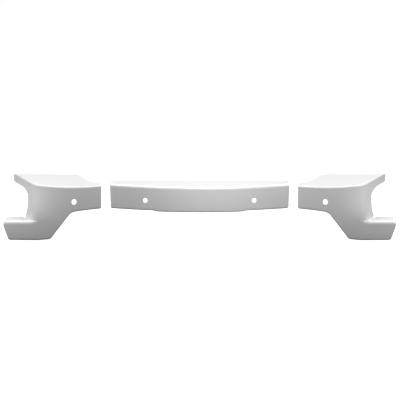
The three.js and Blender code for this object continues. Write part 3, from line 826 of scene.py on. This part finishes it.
class Graph:
    """A material's nodes, made and linked in one place."""

    def __init__(self, name, rgb, rough):
        self.material = bpy.data.materials.new(name)
        self.material.use_nodes = True
        self.tree = self.material.node_tree
        self.shader = self.tree.nodes["Principled BSDF"]
        self.shader.inputs["Base Color"].default_value = (*rgb, 1)
        self.shader.inputs["Roughness"].default_value = rough
        self.where = self.add("ShaderNodeTexCoord").outputs["Object"]

    def add(self, kind, **values):
        """A new node with some of its settings."""
        node = self.tree.nodes.new(kind)
        for name, value in values.items():
            setattr(node, name, value)
        return node

    def link(self, source, target):
        """A link from an output to an input."""
        self.tree.links.new(source, target)

    def noise(self, scale, detail=3.0, stretch=(1, 1, 1)):
        """Noise with so many grains to the metre, drawn out along an axis by a stretch below one."""
        mapping = self.add("ShaderNodeMapping")
        mapping.inputs["Scale"].default_value = stretch
        self.link(self.where, mapping.inputs["Vector"])
        noise = self.add("ShaderNodeTexNoise")
        noise.inputs["Scale"].default_value = scale
        noise.inputs["Detail"].default_value = detail
        self.link(mapping.outputs["Vector"], noise.inputs["Vector"])
        return noise.outputs["Fac"]

    def cells(self, scale):
        """Distance to the nearest of so many scattered points to the metre."""
        cells = self.add("ShaderNodeTexVoronoi")
        cells.inputs["Scale"].default_value = scale
        self.link(self.where, cells.inputs["Vector"])
        return cells.outputs["Distance"]

    def ranged(self, value, low, high):
        """The value brought from 0..1 to low..high."""
        spread = self.add("ShaderNodeMapRange")
        spread.inputs["To Min"].default_value = low
        spread.inputs["To Max"].default_value = high
        self.link(value, spread.inputs["Value"])
        return spread.outputs["Result"]

    def tinted(self, value, first, second):
        """A colour between two by the value."""
        mix = self.add("ShaderNodeMix", data_type="RGBA")
        mix.inputs[6].default_value = (*first, 1)
        mix.inputs[7].default_value = (*second, 1)
        self.link(value, mix.inputs["Factor"])
        self.link(mix.outputs[2], self.shader.inputs["Base Color"])

    def bumped(self, height, distance, strength):
        """The height as a bump: a distance in metres and a strength."""
        bump = self.add("ShaderNodeBump")
        bump.inputs["Distance"].default_value = distance
        bump.inputs["Strength"].default_value = strength
        self.link(height, bump.inputs["Height"])
        self.link(bump.outputs["Normal"], self.shader.inputs["Normal"])


def scaled(rgb, share):
    """A colour made darker or lighter by a share, up to full white."""
    return tuple(min(1.0, share * part) for part in rgb)


def cover_material(finishes):
    """Moulded gloss white: a faint waviness of the surface, and slow changes of its gloss and tint."""
    graph = Graph("Gloss cover", finishes.cover, finishes.cover_rough)
    slow = graph.noise(scale=9, detail=2)
    graph.tinted(slow, scaled(finishes.cover, 0.985), scaled(finishes.cover, 1.01))
    gloss = graph.noise(scale=60, detail=4)
    rough = graph.ranged(gloss, finishes.cover_rough - 0.03, finishes.cover_rough + 0.03)
    graph.link(rough, graph.shader.inputs["Roughness"])
    graph.bumped(graph.noise(scale=45, detail=1), distance=0.2 * MM, strength=0.12)
    graph.shader.inputs["IOR"].default_value = 1.52
    return graph.material


def foam_material(finishes):
    """Closed-cell foam: fine cells in the surface, lighter along their walls."""
    graph = Graph("Foam tape", finishes.foam, 0.85)
    graph.tinted(graph.cells(scale=900), scaled(finishes.foam, 0.7), scaled(finishes.foam, 1.5))
    graph.bumped(graph.cells(scale=900), distance=0.3 * MM, strength=0.6)
    return graph.material


def film_material(finishes):
    """Red release film: glossy, with long shallow wrinkles across it."""
    graph = Graph("Release film", finishes.film, 0.38)
    graph.tinted(graph.noise(scale=24, detail=2), scaled(finishes.film, 0.85), scaled(finishes.film, 1.12))
    graph.bumped(graph.noise(scale=70, detail=2, stretch=(0.35, 1, 1)), distance=0.5 * MM, strength=0.35)
    graph.shader.inputs["Coat Weight"].default_value = 0.1
    graph.shader.inputs["Coat Roughness"].default_value = 0.08
    return graph.material


def sponge_material(finishes):
    """Sponge: open pores of two sizes."""
    graph = Graph("Sponge", finishes.sponge, 0.95)
    graph.tinted(graph.noise(scale=420, detail=4), scaled(finishes.sponge, 0.4), scaled(finishes.sponge, 2.2))
    graph.bumped(graph.cells(scale=520), distance=0.8 * MM, strength=0.8)
    return graph.material


def rubber_material(finishes):
    """Moulded rubber: a fine grain and a patchy bloom."""
    graph = Graph("Rubber", finishes.rubber, 0.6)
    graph.tinted(graph.noise(scale=30, detail=5), scaled(finishes.rubber, 0.75), scaled(finishes.rubber, 1.6))
    graph.link(graph.ranged(graph.noise(scale=40, detail=3), 0.48, 0.72), graph.shader.inputs["Roughness"])
    graph.bumped(graph.noise(scale=700, detail=2), distance=0.15 * MM, strength=0.5)
    return graph.material


def material_named(name, maker, finishes):
    """The material if it is already made, or a new one from its maker."""
    return bpy.data.materials.get(name) or maker(finishes)


# Operators, one for each group of pieces and one for the stage.


class BUMPER_OT_centre(bpy.types.Operator):
    """Build the centre cover"""

    bl_idname = "bumper.centre"
    bl_label = "Centre cover"

    def execute(self, context):
        scene = context.scene
        shell = scene.bumper_shell
        material = material_named("Gloss cover", cover_material, scene.bumper_finishes)
        piece = build_centre(shell, scene.bumper_centre).make("centre_cover_skin")
        finish_shell(piece, shell, "centre", material, "centre_cover")
        return {"FINISHED"}


class BUMPER_OT_corners(bpy.types.Operator):
    """Build the two corner covers"""

    bl_idname = "bumper.corners"
    bl_label = "Corner covers"

    def execute(self, context):
        scene = context.scene
        shell = scene.bumper_shell
        material = material_named("Gloss cover", cover_material, scene.bumper_finishes)
        skin = build_corner(shell, scene.bumper_corner)
        for name, side in SIDES.items():
            piece = skin.make(f"{name}_corner_cover_skin", mirror=side < 0)
            finish_shell(piece, shell, f"{name}_corner", material, f"{name}_corner_cover")
        return {"FINISHED"}


class BUMPER_OT_gaskets(bpy.types.Operator):
    """Build the sponge gaskets round the sensor holes"""

    bl_idname = "bumper.gaskets"
    bl_label = "Gaskets"

    def execute(self, context):
        scene = context.scene
        centre, corner, inside = scene.bumper_centre, scene.bumper_corner, scene.bumper_inside
        material = material_named("Sponge", sponge_material, scene.bumper_finishes)
        middle = CentreShape(scene.bumper_shell, centre)
        end = CornerShape(scene.bumper_shell, corner)
        in_middle = build_gasket(middle.behind, centre.hole_out, centre.hole_down, centre.hole_high, inside)
        at_end = build_gasket(end.behind, corner.hole_out, corner.hole_down, corner.hole_high, inside)
        for name, side in SIDES.items():
            for skin, body, node in (
                (in_middle, "centre", f"centre_{name}_gasket"),
                (at_end, f"{name}_corner", f"{name}_corner_gasket"),
            ):
                piece = skin.make(f"{node}_ring", mirror=side < 0)
                finish_inside(piece, body, node, material)
        return {"FINISHED"}


class BUMPER_OT_pads(bpy.types.Operator):
    """Build the rubber pads behind the faces"""

    bl_idname = "bumper.pads"
    bl_label = "Pads"

    def execute(self, context):
        scene = context.scene
        centre, corner, inside = scene.bumper_centre, scene.bumper_corner, scene.bumper_inside
        material = material_named("Rubber", rubber_material, scene.bumper_finishes)
        middle = CentreShape(scene.bumper_shell, centre)
        end = CornerShape(scene.bumper_shell, corner)
        lobe_down = (corner.ledge + corner.lobe_bottom) / 2
        in_middle = build_pad(middle.behind, 0, centre.height / 2, inside)
        beside = build_pad(middle.behind, inside.centre_pad, centre.height / 2, inside)
        at_end = build_pad(end.behind, corner.crest, inside.corner_pad_down, inside)
        on_lobe = build_pad(end.behind_lobe, inside.lobe_pad, lobe_down, inside)
        piece = in_middle.make("centre_middle_pad_block")
        finish_inside(piece, "centre", "centre_middle_pad", material)
        for name, side in SIDES.items():
            for skin, body, node in (
                (beside, "centre", f"centre_{name}_pad"),
                (at_end, f"{name}_corner", f"{name}_corner_pad"),
                (on_lobe, f"{name}_corner", f"{name}_corner_lobe_pad"),
            ):
                piece = skin.make(f"{node}_block", mirror=side < 0)
                finish_inside(piece, body, node, material)
        return {"FINISHED"}


class BUMPER_OT_finishes(bpy.types.Operator):
    """Give the tapes and their liners their materials"""

    bl_idname = "bumper.finishes"
    bl_label = "Tapes and liners"

    def execute(self, context):
        finishes = context.scene.bumper_finishes
        makers = {
            "_tape": ("Foam tape", foam_material),
            "_liner": ("Release film", film_material),
        }
        for piece in bpy.data.objects:
            for ending, (name, maker) in makers.items():
                if piece.type == "MESH" and piece.name.endswith(ending):
                    material = material_named(name, maker, finishes)
                    piece.data.materials.clear()
                    piece.data.materials.append(material)
        return {"FINISHED"}


# Soft lights: size in metres, power in watts, place and the point that they face
LIGHTS = {
    "Overhead": ((4.0, 2.4), 99, (0, 0.3, 2.6), (0, 0, 0)),
    "Strip": ((2.8, 0.1), 8, (0, -0.5, 2.2), (0, 0, 0)),
    "Front": ((0.4, 0.3), 2.7, (0.13, -0.62, 0.3), (0, 0, 0)),
    "Back": ((2.4, 0.8), 14, (0, 2.6, 0.02), (0, 0, 0)),
    "Side left": ((0.3, 0.3), 5.3, (-1.5, -0.48, 0.42), (-0.95, 0, 0)),
    "Side right": ((0.3, 0.3), 5.3, (1.5, -0.48, 0.42), (0.95, 0, 0)),
}
AMBIENT = 0.04  # grey of the sky for everything but the camera
FLOOR_HALF = 20.0
FLOOR_SEEN = 0.5  # share of the floor's colour that the camera sees
FLOOR_UNSEEN = 0.07  # and that every other ray meets
FLOOR_GLOW = 0.92  # light of its own, to the camera only


def soft_light(name, size, power, place, aim):
    """A rectangular area light at a place, turned to face a point."""
    light = bpy.data.lights.new(name, "AREA")
    light.shape = "RECTANGLE"
    light.size, light.size_y = size
    light.energy = power
    lamp = bpy.data.objects.new(name, light)
    lamp.location = place
    lamp.rotation_euler = (Vector(aim) - Vector(place)).to_track_quat("-Z", "Y").to_euler()
    bpy.context.scene.collection.objects.link(lamp)


def floor_material(rgb):
    """Pale to the camera and darker to every other ray, so that it throws little light up under the
    covers."""
    graph = Graph("Floor", rgb, 0.9)
    seen = graph.add("ShaderNodeLightPath").outputs["Is Camera Ray"]
    graph.tinted(seen, scaled(rgb, FLOOR_UNSEEN), scaled(rgb, FLOOR_SEEN))
    graph.link(graph.ranged(seen, 0, FLOOR_GLOW), graph.shader.inputs["Emission Strength"])
    graph.shader.inputs["Emission Color"].default_value = (1, 1, 1, 1)
    graph.shader.inputs["Specular IOR Level"].default_value = 0.1
    return graph.material


def world_light(scene, ambient):
    """A plain sky: white to the camera, and a grey for the light it gives."""
    world = bpy.data.worlds.new("Studio")
    world.use_nodes = True
    tree = world.node_tree
    background = tree.nodes["Background"]
    path = tree.nodes.new("ShaderNodeLightPath")
    mix = tree.nodes.new("ShaderNodeMix")
    mix.data_type = "RGBA"
    mix.inputs[6].default_value = (ambient, ambient, ambient, 1)
    mix.inputs[7].default_value = (1, 1, 1, 1)
    tree.links.new(path.outputs["Is Camera Ray"], mix.inputs["Factor"])
    tree.links.new(mix.outputs[2], background.inputs["Color"])
    scene.world = world


class BUMPER_OT_stage(bpy.types.Operator):
    """Set up the floor, the lights and the camera"""

    bl_idname = "bumper.stage"
    bl_label = "Stage"

    def execute(self, context):
        scene = context.scene
        stage = scene.bumper_stage
        floor_height = SHELF_TOP - scene.bumper_corner.lobe_bottom - 2 * MM
        mesh = bpy.data.meshes.new("Floor")
        corners = [(-1, -1), (1, -1), (1, 1), (-1, 1)]
        points = [(x * FLOOR_HALF, y * FLOOR_HALF, floor_height) for x, y in corners]
        mesh.from_pydata(points, [], [(0, 1, 2, 3)])
        floor = bpy.data.objects.new("Floor", mesh)
        mesh.materials.append(floor_material(stage.floor))
        scene.collection.objects.link(floor)

        target = Vector((stage.sideways, CENTRE_LOW[1], SHELF_TOP - stage.drop))
        direction = Vector((0, -math.cos(stage.elevation), math.sin(stage.elevation)))
        lens = bpy.data.cameras.new("Camera")
        lens.sensor_width = 36
        lens.lens = lens.sensor_width * stage.distance / stage.width
        lens.clip_end = 4 * stage.distance
        camera = bpy.data.objects.new("Camera", lens)
        camera.location = target + stage.distance * direction
        camera.rotation_euler = (-direction).to_track_quat("-Z", "Y").to_euler()
        scene.collection.objects.link(camera)
        scene.camera = camera

        for name, light in LIGHTS.items():
            soft_light(name, *light)
        world_light(scene, AMBIENT)
        scene.view_settings.view_transform = "Standard"
        return {"FINISHED"}


OPERATORS = [
    BUMPER_OT_centre,
    BUMPER_OT_corners,
    BUMPER_OT_gaskets,
    BUMPER_OT_pads,
    BUMPER_OT_finishes,
    BUMPER_OT_stage,
]


GROUPS = {
    "bumper_shell": ShellSizes,
    "bumper_centre": CentreSizes,
    "bumper_corner": CornerSizes,
    "bumper_inside": InsideSizes,
    "bumper_finishes": Finishes,
    "bumper_stage": StageSettings,
}


class BUMPER_PT_panel(bpy.types.Panel):
    """Lists the steps of the build and their sizes"""

    bl_idname = "BUMPER_PT_panel"
    bl_label = "Bumper covers"
    bl_space_type = "VIEW_3D"
    bl_region_type = "UI"
    bl_category = "Bumper Covers"

    def draw(self, context):
        for operator in OPERATORS:
            self.layout.operator(operator.bl_idname)
        for name in GROUPS:
            settings = getattr(context.scene, name)
            box = self.layout.box()
            box.label(text=name.replace("bumper_", "").title())
            for item in type(settings).__annotations__:
                box.prop(settings, item)


CLASSES = [*GROUPS.values(), *OPERATORS, BUMPER_PT_panel]


def register():
    """Registers the classes, and hangs each group of sizes on the scene."""
    for item in CLASSES:
        bpy.utils.register_class(item)
    for name, group in GROUPS.items():
        setattr(bpy.types.Scene, name, bpy.props.PointerProperty(type=group))


def unregister():
    """Undoes register."""
    for name in GROUPS:
        delattr(bpy.types.Scene, name)
    for item in reversed(CLASSES):
        bpy.utils.unregister_class(item)


def main():
    """Builds everything in order through the operators."""
    register()
    bpy.ops.bumper.centre()
    bpy.ops.bumper.corners()
    bpy.ops.bumper.gaskets()
    bpy.ops.bumper.pads()
    bpy.ops.bumper.finishes()
    bpy.ops.bumper.stage()


if __name__ == "__main__":
    main()
